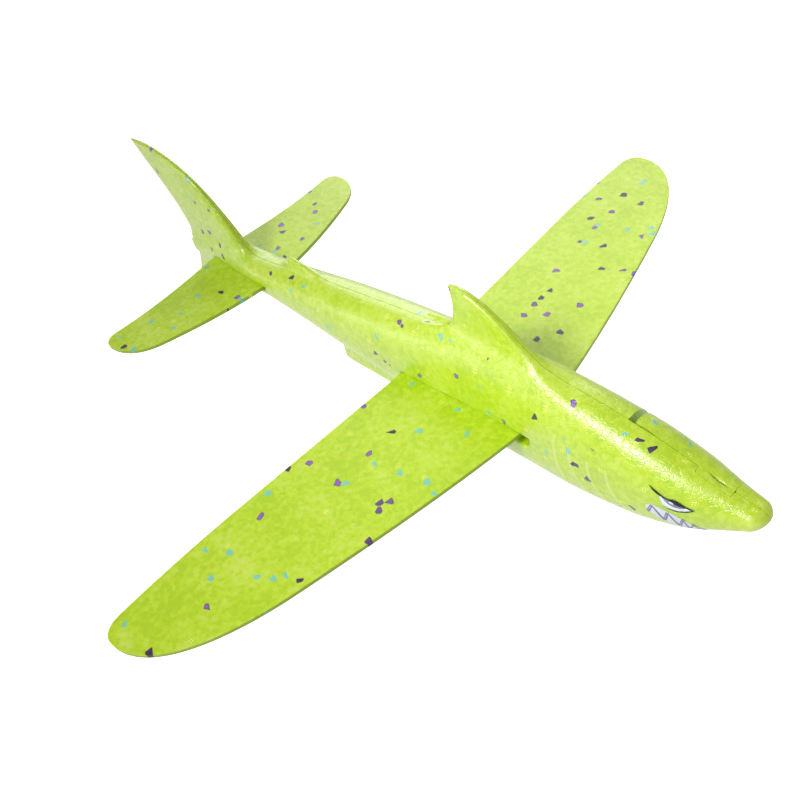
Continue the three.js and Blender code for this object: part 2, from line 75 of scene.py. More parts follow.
# Fuselage sections: x, top, bottom, half width
STATIONS = np.array([
    [-262, 13, 4, 2.5],
    [-235, 18, -2, 6.5],
    [-187, 20, -3, 12.4],
    [-138, 24.6, -8.5, 14.8],
    [-88, 30.4, -16, 17.4],
    [-39, 34.8, -24.6, 18.2],
    [10, 38, -33, 17.8],
    [49, 37.4, -36, 18.4],
    [84, 34.3, -35.2, 20],
    [118, 27.8, -30.2, 20.2],
    [147, 19.9, -21.9, 17.5],
    [170, 12.4, -9.8, 11.7],
    [NOSE_X, 7.8, 0.8, 7.4],
])
SECTION_EXPONENT = 2.5
NOSE_ROUND_X = 181.0
BODY_END_ROUNDING = 3.0

FIN_TOP_Z = 86.0
FIN_EXPONENT = 3.5
FIN_THINNING = 0.5  # how much thinner a fin is at its trailing edge
FIN_TIP_ROUNDING = 1.2
FIN_MARGIN = 10  # a fin's field is worked out this far round it

HATCH_OPENING_X = 111.6
HATCH_REAR_X = 115.0
HATCH_FRONT_X = 168.5
HATCH_BOTTOM_Z = -8.0
TONGUE_X = 150.0
TONGUE_WIDTH = 3.8
TONGUE_REAR_Z = 16.0  # of its underside, which slopes down towards the nose
TONGUE_SLOPE = 0.32
TONGUE_OVERLAP = 1.0  # over the seam, into the hatch's own side
HATCH_CLEARANCE = 0.12
CREASE = (154.5, 168.0)  # a crease runs along the middle over the tongue, between these x
CREASE_WIDTH = 0.7
CREASE_DEPTH = 1.2
LIFTED = (112.0, 130.0)  # the hatch stands off the seam between these x
LIFT = 0.9

POCKET_X = (123.6, 158.4)
POCKET_Y = (-8.4, 8.2)
POCKET_Z = (-7.4, 11.4)
LAMP_BORE = 3.1
LAMP_BORE_START_X = POCKET_X[1] - 1
LAMP_BORE_END_X = 163.6
LAMP_Y = -1.0
LAMP_Z = 1.8

GILL_X = (70, 130)  # the gills lie between these x and heights
GILL_Z = (-30, 25)
GILL_INNER_Y = 6.0
GILL_HEIGHT = 0.75
GILL_WIDTH = 0.9

GRID_STEP = 0.9  # of the distance field
GRID_MARGIN = 3.0
GRID_HALF_WIDTH = 24.0
SHARPEN_ROUNDS = 3
MAX_MOVE = 0.5  # of a mesh point in one round, in grid steps
MIN_STEEPNESS = 0.05
CRISP_ANGLE = np.radians(38)  # faces that meet more sharply than this show an edge
EDGE_SOFTNESS = 1.6  # the slots' edges are rounded off over about this width
SEAM_GAP = 0.25  # the glued seam shows as a hairline

RIM_STEPS = np.array([0, 0.05, 0.15, 0.3, 0.5, 0.9, 2.0, 4.5])  # rows near an edge, from the edge in
RIM_SHARE = 0.45  # at most this share of a sheet's length is taken by the rows near one edge
RIM_RADIUS = 0.4
RIM_WALL = 0.8  # share of a sheet's thickness that stands square at its edge
WING_ROWS_COLUMNS = (150, 24)  # evenly spread between those near the edges
TAIL_ROWS_COLUMNS = (80, 20)
WELD_DISTANCE = 1e-7  # in metres

# ------------ frames and small helpers

WING_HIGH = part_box("main_wing")[1]
ORIGIN = np.array([WING_HIGH.x * 1000 - ROOT_LEADING_X, 0.0, WING_HIGH.z * 1000])


def to_row(points):
    """Millimetres about the wing to metres in the row frame."""
    return (np.asarray(points, float) + ORIGIN) / 1000


def bezier(*points, count=40):
    """Points along a cubic Bezier curve through its four control points."""
    a, b, c, d = (np.array(p, float) for p in points)
    t = np.linspace(0, 1, count)[:, None]
    u = 1 - t
    return a * u**3 + 3 * b * u**2 * t + 3 * c * u * t**2 + d * t**3


def bend(*points, count=24):
    """Points along a quadratic Bezier curve."""
    a, b, c = (np.array(p, float) for p in points)
    t = np.linspace(0, 1, count)[:, None]
    u = 1 - t
    return a * u**2 + 2 * b * u * t + c * t**2


def smooth_profile(column, x):
    """A monotone cubic through one column of the stations, held level beyond both ends."""
    xs = STATIONS[:, 0]
    ys = STATIONS[:, column]
    slopes = np.diff(ys) / np.diff(xs)
    before = np.r_[slopes[0], slopes]
    after = np.r_[slopes, slopes[-1]]
    same_way = before * after > 0
    total = np.where(same_way, before + after, 1)
    tangents = np.where(same_way, 2 * before * after / total, 0)
    x = np.clip(x, xs[0], xs[-1])
    i = np.clip(np.searchsorted(xs, x, side="right") - 1, 0, len(xs) - 2)
    span = xs[i + 1] - xs[i]
    t = (x - xs[i]) / span
    u = 1 - t
    level = ys[i] * u * u * (1 + 2 * t) + ys[i + 1] * t * t * (3 - 2 * t)
    return level + span * t * u * (tangents[i] * u - tangents[i + 1] * t)


def body_section(x):
    """Centre height, half height and half width of the fuselage at each x."""
    top = smooth_profile(1, x)
    bottom = smooth_profile(2, x)
    return (top + bottom) / 2, (top - bottom) / 2, smooth_profile(3, x)


def nose_share(x):
    """0 behind the rounded nose, 1 at its tip."""
    return np.clip((x - NOSE_ROUND_X) / (NOSE_X - NOSE_ROUND_X), 0, None)


# ------------ the distance field

def smooth_min(a, b, width):
    """The union of two fields, with a fillet about this wide."""
    share = np.maximum(width - np.abs(a - b), 0) / width
    return np.minimum(a, b) - share * share * width / 4


def smooth_max(a, b, width):
    """The common part of two fields, with its edge rounded."""
    return -smooth_min(-a, -b, width)


def as_distance(field):
    """Divides a field by its slope, so that it reads in millimetres near its surface."""
    slopes = np.gradient(field, GRID_STEP)
    return field / np.sqrt(sum(s * s for s in slopes) + 1e-9)


class Grid:
    """A regular grid of points over a box."""

    def __init__(self, low, high):
        self.low = np.array(low, float)
        counts = np.ceil((np.array(high) - self.low) / GRID_STEP).astype(int) + 1
        axes = [self.low[k] + GRID_STEP * np.arange(counts[k]) for k in range(3)]
        self.x = axes[0][:, None, None].astype(np.float32)
        self.y = axes[1][None, :, None].astype(np.float32)
        self.z = axes[2][None, None, :].astype(np.float32)

    def window(self, x_range, z_range):
        """The part of the grid inside these ranges: its index, and its x, y and z."""
        spans = []
        for axis, (low, high) in ((self.x.ravel(), x_range), (self.z.ravel(), z_range)):
            inside = np.nonzero((axis >= low) & (axis <= high))[0]
            spans.append(slice(inside[0], inside[-1] + 1))
        xs, zs = spans
        return (xs, slice(None), zs), self.x[xs], self.y, self.z[:, :, zs]


def body_field(x, y, z):
    """The fuselage without its fins: superellipse sections and a rounded nose."""
    centre, half_height, half_width = body_section(x)
    across = np.abs(y / half_width) ** SECTION_EXPONENT
    upright = np.abs((z - centre) / half_height) ** SECTION_EXPONENT
    section = (across + upright) ** (2 / SECTION_EXPONENT)
    field = np.sqrt(section + nose_share(x) ** 2) - 1
    tail_end = STATIONS[0, 0] - x
    return smooth_max(as_distance(field), tail_end + 0 * field, BODY_END_ROUNDING)


def fin_field(x, y, z, fin):
    """One fin between its leading and trailing curves, thinner at its back and at its tip."""
    leading = fin["leading"]
    trailing = fin["trailing"]
    root_z = leading[0, 1]
    tip_z = leading[-1, 1]
    way = np.sign(tip_z - root_z)

    def x_at(curve):
        return np.interp(way * z, way * curve[:, 1], curve[:, 0])

    front = x_at(leading)
    back = x_at(trailing)
    chord = front - back
    share = np.clip((z - root_z) / (tip_z - root_z), 0, 1)
    thickness = fin["root"] + (fin["tip"] - fin["root"]) * share
    forward = np.clip((x - back) / chord, 0, 1)
    half = thickness / 2 * (1 - FIN_THINNING * (1 - forward))
    along = np.abs((x - (front + back) / 2) / (chord / 2)) ** FIN_EXPONENT
    across = np.abs(y / half) ** FIN_EXPONENT
    field = (along + across) ** (1 / FIN_EXPONENT) - 1
    beyond_tip = way * (z - tip_z)
    before_root = way * (root_z - z)
    side = as_distance(field)
    return smooth_max(np.maximum(side, before_root), beyond_tip + 0 * side, FIN_TIP_ROUNDING)


FINS = [  # back fin, small fin behind it, upper and lower lobe of the tail, grip keel
    {
        "leading": bezier((74, 28), (52, 42), (32, 70), (6, 71.5)),
        "trailing": bezier((-14, 28), (0, 38), (5, 52), (2, 71.5)),
        "root": 14, "tip": 5, "fillet": 9,
    },
    {
        "leading": bezier((-98, 20), (-112, 27), (-126, 33), (-143, 34.5)),
        "trailing": bezier((-152, 20), (-149, 25), (-149, 30), (-149, 34.5)),
        "root": 11, "tip": 3.5, "fillet": 6,
    },
    {
        "leading": bezier((-182, 4), (-213, 40), (-224, FIN_TOP_Z), (TAIL_TIP_X + 3, FIN_TOP_Z)),
        "trailing": bezier((-267, 4), (-261, 36), (-287, 60), (TAIL_TIP_X, FIN_TOP_Z)),
        "root": 15, "tip": 4, "fillet": 9,
    },
    {
        "leading": bezier((-208, 8), (-238, -4), (-262, -24), (-285, -38)),
        "trailing": bezier((-268, 8), (-271, -8), (-279, -22), (-290, -38)),
        "root": 11, "tip": 3.5, "fillet": 6,
    },
    {
        "leading": bezier((20, -5), (14, -28), (-25, -39), (-66, KEEL_BOTTOM_Z)),
        "trailing": bezier((-112, -5), (-115, -18), (-118, -30), (-117, KEEL_BOTTOM_Z)),
        "root": 12, "tip": 6.5, "fillet": 8,
    },
]

GILLS = [  # lines in x and z
    bezier((79.8, 15.5), (78, 4), (80.5, -10), (84.5, -21.5)),
    bezier((88.6, 10), (88.6, -3), (93, -12), (98.5, -19.5)),
    bezier((100, 8), (100, -4), (104, -12), (109.8, -18.8)),
    bezier((111.2, 7), (111.6, -2), (115, -8), (121, -14.5)),
]


def gill_share(x, z):
    """1 along the raised gill lines of the head, falling to 0 beside them."""
    nearest = np.full(np.broadcast(x, z).shape, np.inf)
    for curve in GILLS:
        for px, pz in curve:
            nearest = np.minimum(nearest, np.hypot(x - px, z - pz))
    return np.exp(-(nearest / GILL_WIDTH) ** 2)


def gill_ridges(x, y, z):
    """Height of the raised gill lines over the sides of the head."""
    share = gill_share(x[:, 0, :], z[0, :, :])
    return GILL_HEIGHT * share[:, None, :] * (np.abs(y) > GILL_INNER_Y)


def box_field(x, y, z, x_range, y_range, z_range):
    """A plain box; None leaves a side open."""
    sides = []
    for value, (low, high) in ((x, x_range), (y, y_range), (z, z_range)):
        if low is not None:
            sides.append(low - value)
        if high is not None:
            sides.append(value - high)
    whole = sides[0]
    for side in sides[1:]:
        whole = np.maximum(whole, side)
    return whole


def wing_slot(x, y, z):
    """The slot follows the wing's swept trailing edge, and is scooped out at its front end."""
    sweep = (ROOT_TRAILING_X - SWEPT_TRAILING_X) / SWEPT_TRAILING_Y
    rear = ROOT_TRAILING_X - GAP - sweep * np.abs(y)
    slit = np.maximum(np.maximum(rear - x, x - SLOT_FRONT_X),
                      np.maximum(z - GAP, -WING_THICKNESSES[0] - GAP - z))
    scoop = np.hypot(x - (SLOT_FRONT_X - SLOT_SCOOP), z + WING_THICKNESSES[0]) - SLOT_SCOOP
    return np.minimum(slit, np.maximum(scoop, z - GAP))


def tail_slot(x, y, z):
    """The slot goes right through, and is open a little ahead of the tailplane."""
    return box_field(x, y, z, (TAIL_TRAILING_X - GAP, TAIL_LEADING_X + TAIL_SLOT_ROOM), (None, None),
                     (TAIL_TOP_Z - TAIL_THICKNESSES[0] - GAP, TAIL_TOP_Z + GAP))


def light_pocket(x, y, z):
    """The room for the light unit, with a bore ahead of it for the lamp."""
    pocket = box_field(x, y, z, POCKET_X, POCKET_Y, POCKET_Z)
    bore = np.maximum(np.hypot(y - LAMP_Y, z - LAMP_Z) - LAMP_BORE,
                      np.maximum(LAMP_BORE_START_X - x, x - LAMP_BORE_END_X))
    return np.minimum(pocket, bore)


def bump_between(x, low, high):
    """0 outside a range of x, rising smoothly to 1 in its middle."""
    share = np.clip((x - low) / (high - low), 0, 1)
    return np.sin(np.pi * share) ** 2


def hatch_region(x, y, z, rear_x, clearance, lift=0.0):
    """The left side of the head, and the tongue that crosses the seam near its front end."""
    seam_y = SEAM_GAP / 2 - clearance + lift * bump_between(x, *LIFTED)
    left = box_field(x, y - seam_y, z, (rear_x, HATCH_FRONT_X + clearance), (0, None),
                     (HATCH_BOTTOM_Z - clearance, None))
    underside = TONGUE_REAR_Z - TONGUE_SLOPE * (x - TONGUE_X) - clearance
    tongue = box_field(x, y, z - underside, (TONGUE_X - clearance, HATCH_FRONT_X + clearance),
                       (-TONGUE_WIDTH - clearance, TONGUE_OVERLAP), (0, None))
    return np.minimum(left, tongue)


def whole_shell(grid):
    """The fuselage with its fins, gills and slots, before it is cut into pieces."""
    shell = body_field(grid.x, grid.y, grid.z)
    for fin in FINS:
        outline = np.vstack([fin["leading"], fin["trailing"]])
        low = outline.min(0) - FIN_MARGIN
        high = outline.max(0) + FIN_MARGIN
        index, x, y, z = grid.window((low[0], high[0]), (low[1], high[1]))
        shell[index] = smooth_min(shell[index], fin_field(x, y, z, fin), fin["fillet"])
    index, x, y, z = grid.window(GILL_X, GILL_Z)
    shell[index] -= gill_ridges(x, y, z)
    for slot in (wing_slot, tail_slot):
        shell = smooth_max(shell, -slot(grid.x, grid.y, grid.z), EDGE_SOFTNESS)
    return shell


def foam_fields(grid):
    """The left half, the right half and the hatch: for each, the shell and what cuts it."""
    shell = whole_shell(grid)
    x, y, z = grid.x, grid.y, grid.z
    pocket = -light_pocket(x, y, z)
    opening = np.maximum(-hatch_region(x, y, z, HATCH_OPENING_X, HATCH_CLEARANCE), pocket)
    hatch = np.maximum(hatch_region(x, y, z, HATCH_REAR_X, 0, LIFT), pocket)
    depth = CREASE_DEPTH * bump_between(x, *CREASE)
    creased = shell + depth * np.exp(-(y / CREASE_WIDTH) ** 2)
    return {
        "foam_left": (shell, np.maximum(SEAM_GAP / 2 - y, opening)),
        "foam_right": (shell, np.maximum(SEAM_GAP / 2 + y, opening)),
        "foam_hatch": (creased, hatch),
    }


def sample(field, points):
    """The field between its grid points, by trilinear interpolation; points count in grid steps."""
    base = np.clip(np.floor(points).astype(int), 0, np.array(field.shape) - 2)
    share = points - base
    value = 0
    for corner in np.ndindex(2, 2, 2):
        weight = np.prod(np.where(corner, share, 1 - share), axis=1)
        value = value + weight * field[tuple((base + corner).T)]
    return value


def slope(field, points):
    """The field's gradient at these points, per grid step."""
    parts = []
    for axis in range(3):
        step = np.zeros(3)
        step[axis] = 0.5
        parts.append(sample(field, points + step) - sample(field, points - step))
    return np.stack(parts, 1)


def pull_onto(field, points, chosen):
    """Moves the chosen points straight to the field's zero surface."""
    value = sample(field, points[chosen])
    gradient = slope(field, points[chosen])
    steepness = np.maximum((gradient**2).sum(1), MIN_STEEPNESS)
    move = -gradient * (value / steepness)[:, None]
    points[chosen] += np.clip(move, -MAX_MOVE, MAX_MOVE)


def surface_of(shell, cut, grid):
    """A mesh of the surface where the greater of two fields is zero, crisp where they meet.

    One vertex for each cell that it crosses, one quad for each grid edge that it crosses.
    """
    field = np.maximum(shell, cut)
    cells = np.array(field.shape) - 1
    rings = []
    crossings = []
    cut_made = []
    for axis in range(3):
        length = field.shape[axis] - 1
        start = field.take(range(length), axis)
        end = field.take(range(1, length + 1), axis)
        crosses = (start < 0) != (end < 0)
        index = np.argwhere(crosses)
        point = index.astype(float)
        point[:, axis] += start[crosses] / (start[crosses] - end[crosses])
        u, v = (axis + 1) % 3, (axis + 2) % 3
        ring = []
        for du, dv in ((0, 0), (-1, 0), (-1, -1), (0, -1)):
            cell = index.copy()
            cell[:, u] += du
            cell[:, v] += dv
            ring.append(np.ravel_multi_index(cell.T, cells))
        ring = np.stack(ring, 1)
        leaves = start[crosses] < 0
        ring[~leaves] = ring[~leaves][:, ::-1]
        rings.append(ring)
        crossings.append(point)
        cut_made.append(sample(cut, point) > sample(shell, point))
    rings = np.vstack(rings)
    crossings = np.repeat(np.vstack(crossings), 4, axis=0)
    by_cut = np.repeat(np.concatenate(cut_made), 4)
    corner = np.unique(rings.ravel(), return_inverse=True)[1]
    tally = np.bincount(corner)
    vertices = np.stack([np.bincount(corner, crossings[:, k]) / tally for k in range(3)], 1)
    cut_share = np.bincount(corner, by_cut) / tally
    for _ in range(SHARPEN_ROUNDS):
        pull_onto(shell, vertices, cut_share < 1)
        pull_onto(cut, vertices, cut_share > 0)
    return grid.low + vertices * GRID_STEP, corner.reshape(-1, 4)


# ------------ meshes and pieces

def add_object(name, data):
    """A new object in the scene."""
    thing = bpy.data.objects.new(name, data)
    bpy.context.scene.collection.objects.link(thing)
    return thing


def mesh_piece(name, vertices, faces, material):
    """A new smooth-shaded object from points in millimetres about the wing."""
    mesh = bpy.data.meshes.new(name)
    mesh.from_pydata(to_row(vertices).tolist(), [], [list(map(int, f)) for f in faces])
    mesh.materials.append(material)
    mesh.polygons.foreach_set("use_smooth", [True] * len(mesh.polygons))
    return add_object(name, mesh)


def place(piece, body, slot, *nodes):
    """Rides the piece on its CAD body in place of these CAD nodes."""
    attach(piece, body)
    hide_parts(*nodes)


def add_values(piece, name, kind, values):
    """Stores one value for each point of the piece, for its material to read."""
    attribute = piece.data.attributes.new(name, kind, "POINT")
    field = "vector" if kind == "FLOAT_VECTOR" else "value"
    attribute.data.foreach_set(field, values.astype(np.float32).ravel())


def add_marks(piece, vertices):
    """Stores where each point lies along and round the body, in mm, and where the gills are, for a
    painted highlight along them.
    """
    x, y, z = vertices.T
    middle, half_height, half_width = body_section(x)
    radius = (half_height + half_width) / 2
    turn = np.arctan2(z - middle, np.abs(y))
    above = np.maximum(z - middle - half_height, 0)
    add_values(piece, "wrap", "FLOAT_VECTOR", np.stack([x, radius * turn + above, 0 * x], 1))
    add_values(piece, "gill", "FLOAT", gill_share(x, z) * (np.abs(y) > GILL_INNER_Y))


def build_foam_body(material):
    """The two glued halves and the hatch."""
    low = (TAIL_TIP_X - GRID_MARGIN, -GRID_HALF_WIDTH, KEEL_BOTTOM_Z - GRID_MARGIN)
    high = (NOSE_X + GRID_MARGIN, GRID_HALF_WIDTH, FIN_TOP_Z + GRID_MARGIN)
    grid = Grid(low, high)
    owners = {
        "foam_left": ("fuselage", "fuselage_left"),
        "foam_right": ("fuselage", "fuselage_right"),
        "foam_hatch": ("hatch", "nose_hatch"),
    }
    for name, (shell, cut) in foam_fields(grid).items():
        vertices, faces = surface_of(shell, cut, grid)
        piece = mesh_piece(name, vertices, faces, material)
        piece.data.set_sharp_from_angle(angle=CRISP_ANGLE)
        add_marks(piece, vertices)
        body, node = owners[name]
        place(piece, body, "green_foam", node)


# ------------ wing and tailplane

def wing_edges():
    """Leading and trailing edges of the left wing, each from root to tip as [y, x]."""
    leading = np.vstack([
        bezier((0, ROOT_LEADING_X), (54, 49.5), (108, 37.6), (162, 24.1)),
        bezier((162, 24.1), (200, 14.6), (HALF_SPAN, -4), (HALF_SPAN, -33))[1:],
    ])
    trailing = np.vstack([
        [[0, ROOT_TRAILING_X]],
        bend((SWEPT_TRAILING_Y, SWEPT_TRAILING_X), (190, -45), (226, -43.8)),
        bend((226, -43.8), (HALF_SPAN, -43), (HALF_SPAN, -33))[1:],
    ])
    return leading, trailing


def tail_edges():
    """The same for the left half of the tailplane."""
    tip = TAIL_HALF_SPAN
    leading = np.vstack([
        bezier((0, TAIL_LEADING_X), (28, -172.5), (60, -181), (90, -192)),
        bezier((90, -192), (103, -197.5), (tip, -208), (tip, -222))[1:],
    ])
    trailing = np.vstack([
        [[0, TAIL_TRAILING_X]],
        bezier((14, -234), (55, -229), (75, -229), (102, -231.8)),
        bend((102, -231.8), (tip, -231), (tip, -222))[1:],
    ])
    return leading, trailing


def spread(low, high, inner):
    """Positions between two edges: close together at both, evenly spread between."""
    length = high - low
    rim = np.minimum(RIM_STEPS, RIM_SHARE * length * RIM_STEPS / RIM_STEPS[-1])
    between = np.linspace(low + rim[-1], high - rim[-1], inner + 2)[1:-1]
    return np.concatenate([low + rim, between, (high - rim)[::-1]])


def sheet_piece(name, edges, top_z, thicknesses, rows_columns, material):
    """A flat foam sheet with squared, slightly rounded edges that thins a little to its tips."""
    leading, trailing = edges
    thickness, tip_thickness = thicknesses
    rows, columns = rows_columns
    tip = leading[-1, 0]
    y_rows = spread(-tip, tip, rows)
    points = []
    for y in y_rows:
        front = np.interp(abs(y), leading[:, 0], leading[:, 1])
        back = np.interp(abs(y), trailing[:, 0], trailing[:, 1])
        xs = spread(back, front, columns)
        points.append(np.stack([xs, np.full(len(xs), y)], 1))
    points = np.array(points)
    flat = points.reshape(-1, 2)
    inset = edge_distance(flat, leading, trailing)
    share = np.clip(inset / RIM_RADIUS, 0, 1)
    round_off = RIM_WALL + (1 - RIM_WALL) * np.sqrt(1 - (1 - share) ** 2)
    width_share = np.abs(flat[:, 1]) / tip
    half = (thickness + (tip_thickness - thickness) * width_share ** 2) / 2 * round_off
    middle = top_z - thickness / 2
    top = np.column_stack([flat, middle + half])
    bottom = np.column_stack([flat, middle - half])
    n_rows, n_columns = points.shape[:2]
    index = np.arange(n_rows * n_columns).reshape(n_rows, n_columns)
    quads = np.stack([index[:-1, :-1], index[:-1, 1:], index[1:, 1:], index[1:, :-1]], -1)
    quads = quads.reshape(-1, 4)
    rim = np.concatenate([index[0, :-1], index[:-1, -1], index[-1, :0:-1], index[:0:-1, 0]])
    ahead = np.roll(rim, -1)
    walls = np.stack([rim, ahead, ahead + len(flat), rim + len(flat)], -1)
    faces = np.vstack([quads, quads[:, ::-1] + len(flat), walls])
    piece = mesh_piece(name, np.vstack([top, bottom]), faces, material)
    weld(piece)
    piece.data.set_sharp_from_angle(angle=CRISP_ANGLE)
    return piece


def edge_distance(points, leading, trailing):
    """Distance in plan from each point to the sheet's outline."""
    one_side = np.vstack([leading, trailing[::-1]])[:, ::-1]
    corners = np.vstack([one_side, (one_side * [1, -1])[::-1]])
    start = corners[:-1]
    run = np.diff(corners, axis=0)
    nearest = np.full(len(points), np.inf)
    for p, r in zip(start, run):
        length = r @ r
        if length < 1e-12:
            continue
        offset = points - p
        t = np.clip(offset @ r / length, 0, 1)
        nearest = np.minimum(nearest, np.hypot(*(offset - t[:, None] * r).T))
    return nearest


def weld(piece):
    """Joins points that lie together and turns the faces outwards."""
    shape = bmesh.new()
    shape.from_mesh(piece.data)
    bmesh.ops.remove_doubles(shape, verts=shape.verts, dist=WELD_DISTANCE)
    bmesh.ops.dissolve_degenerate(shape, edges=shape.edges, dist=WELD_DISTANCE)
    bmesh.ops.recalc_face_normals(shape, faces=shape.faces)
    shape.to_mesh(piece.data)
    shape.free()


def build_sheets(material):
    """The wing and the tailplane."""
    wing = sheet_piece("wing_sheet", wing_edges(), 0, WING_THICKNESSES, WING_ROWS_COLUMNS, material)
    place(wing, "wing", "green_foam", "main_wing")
    tail = sheet_piece("tail_sheet", tail_edges(), TAIL_TOP_Z, TAIL_THICKNESSES, TAIL_ROWS_COLUMNS,
                       material)
    place(tail, "tailplane", "green_foam", "tailplane")


# ------------ printed film on the head

FILM_LIFT = 0.14  # of the lowest film over the foam
FILM_LAYER = 0.05  # each layer of print stands this much over the last one
FILM_CELL = 1.1  # a film is divided about this finely, so that it follows the head

INKS = {  # each with its colour where it lies thin
    "white": ((0.86, 0.88, 0.92), (0.74, 0.77, 0.84)),
    "blue_grey": ((0.19, 0.26, 0.37), (0.27, 0.35, 0.47)),
    "black": ((0.008, 0.008, 0.010), (0.02, 0.02, 0.025)),
    "lavender": ((0.70, 0.71, 0.76), (0.80, 0.81, 0.84)),
    "slate": ((0.20, 0.24, 0.38), (0.27, 0.31, 0.46)),
    "pale_slate": ((0.38, 0.41, 0.55), (0.46, 0.49, 0.62)),
}


def side_of_head(x, z, lift):
    """How far from the plane of symmetry the head's side lies at this x and height."""
    middle, half_height, half_width = body_section(x)
    rise = np.clip(np.abs(z - middle) / (half_height + lift), 0, 0.999)
    return (half_width + lift) * (1 - rise**SECTION_EXPONENT) ** (1 / SECTION_EXPONENT)


def film_piece(name, outline, side, layer, material):
    """A thin sheet of print with this outline in x and z, laid on one side of the head."""
    shape = bmesh.new()
    corners = [shape.verts.new((x, 0, z)) for x, z in outline]
    shape.faces.new(corners)
    low = np.min(outline, axis=0)
    high = np.max(outline, axis=0)
    for axis, normal in ((0, (1, 0, 0)), (1, (0, 0, 1))):
        for level in np.arange(low[axis] + FILM_CELL, high[axis], FILM_CELL):
            point = (level, 0, 0) if axis == 0 else (0, 0, level)
            everything = shape.verts[:] + shape.edges[:] + shape.faces[:]
            bmesh.ops.bisect_plane(shape, geom=everything, plane_co=point, plane_no=normal, dist=1e-5)
    bmesh.ops.triangulate(shape, faces=shape.faces)
    lift = FILM_LIFT + layer * FILM_LAYER
    flat = np.array([v.co for v in shape.verts])
    y = side * side_of_head(flat[:, 0], flat[:, 2], lift)
    points = np.column_stack([flat[:, 0], y, flat[:, 2]])
    shape.verts.index_update()
    faces = np.array([[v.index for v in f.verts] for f in shape.faces])
    shape.free()
    a, b, c = (points[faces[:, k]] for k in range(3))
    if np.cross(b - a, c - a)[:, 1].sum() * side < 0:
        faces = faces[:, ::-1]
    piece = mesh_piece(name, points, faces, material)
    thicken = piece.modifiers.new("thicken", "SOLIDIFY")
    thicken.thickness = FILM_LAYER / 1000
    thicken.offset = 1
    return piece


def closed_outline(start, *pieces):
    """Curves that follow on one another, back to the start; a piece is a count and its later points."""
    outline = []
    for count, *later in pieces:
        curve = bend if len(later) == 2 else bezier
        outline.append(curve(start, *later, count=count)[:-1])
        start = later[-1]
    return np.vstack(outline)


def stroke(path, widths):
    """The outline of a brush stroke along a path, with its width at evenly spaced places."""
    path = np.asarray(path, float)
    run = np.gradient(path, axis=0)
    across = np.column_stack([-run[:, 1], run[:, 0]]) / np.hypot(*run.T)[:, None]
    share = np.linspace(0, 1, len(path))
    half = np.interp(share, np.linspace(0, 1, len(widths)), widths) / 2
    return np.vstack([path + across * half[:, None], (path - across * half[:, None])[::-1]])


def oval(centre, radii, turn, count=18):
    """The outline of an oval, turned by this many degrees."""
    turn = np.radians(turn)
    angles = np.linspace(0, 2 * np.pi, count, endpoint=False)
    along = radii[0] * np.cos(angles)
    across = radii[1] * np.sin(angles)
    return np.column_stack([
        centre[0] + along * np.cos(turn) - across * np.sin(turn),
        centre[1] + along * np.sin(turn) + across * np.cos(turn),
    ])


def eye_prints():
    """The narrowed eye: name, outline in x and z, layer and look."""
    white = closed_outline(
        (139.6, 8.5),
        (8, (143.5, 6.9), (146.5, 7.4)),
        (10, (151.0, 7.0), (156.0, 5.2)),
        (14, (152.5, 2.2), (147.0, 0.6), (142.8, 1.9)),
        (8, (140.4, 4.6), (139.6, 8.5)),
    )
    iris = closed_outline(
        (141.3, 7.6),
        (8, (144.0, 6.8), (147.0, 7.6)),
        (8, (150.6, 7.2), (153.2, 5.7)),
        (14, (150.8, 3.6), (144.4, 2.6), (141.3, 7.6)),
    )
    pupil = closed_outline(
        (144.2, 7.5),
        (10, (147.2, 9.6), (149.9, 7.8)),
        (6, (151.9, 6.7), (153.6, 5.9)),
        (8, (150.6, 5.2), (148.2, 5.6)),
        (6, (147.0, 6.6), (144.2, 7.5)),
    )
    glint = oval((145.9, 6.1), (1.25, 0.62), -12)
    brow_path = bezier((134.3, 12.1), (137.8, 9.2), (141.6, 7.8), (145.2, 7.4), count=16)
    brow = stroke(brow_path, [0.15, 1.0, 1.25, 1.1, 0.8, 0.7])
    front_path = bezier((149.2, 8.0), (151.6, 7.0), (153.2, 5.7), (157.0, 5.5), count=12)
    front_lid = stroke(front_path, [0.5, 0.55, 0.6, 0.9, 0.35])
    lower_path = bezier((142.1, 2.0), (146.6, 0.4), (152.4, 1.9), (156.4, 5.3), count=16)
    lower_lid = stroke(lower_path, [0.12, 0.45, 0.62, 0.65, 0.5])
    return [
        ("eye_white", white, 0, "white"),
        ("eye_iris", iris, 1, "blue_grey"),
        ("eye_pupil", pupil, 2, "black"),
        ("eye_glint", glint, 3, "white"),
        ("eye_brow", brow, 3, "black"),
        ("eye_front_lid", front_lid, 3, "black"),
        ("eye_lower_lid", lower_lid, 2, "black"),
    ]


ZIGZAG = [  # corners of the drawn teeth, from the back of the mouth to the front
    (134.3, -7.0), (136.3, -1.0), (142.9, -9.7), (144.4, -2.1), (150.4, -10.2),
    (152.1, -3.4), (155.0, -11.2), (156.8, -5.6), (159.3, -8.6),
]
RISING_WIDTHS = [1.7, 1.65, 1.4, 1.0]  # of the strokes that run up to a corner
FALLING_WIDTHS = [(0.9, 1.7), (0.75, 1.5), (0.6, 1.2), (0.45, 0.6)]
CORE_SHARE = 0.35  # of a rising stroke's width that its paler core takes


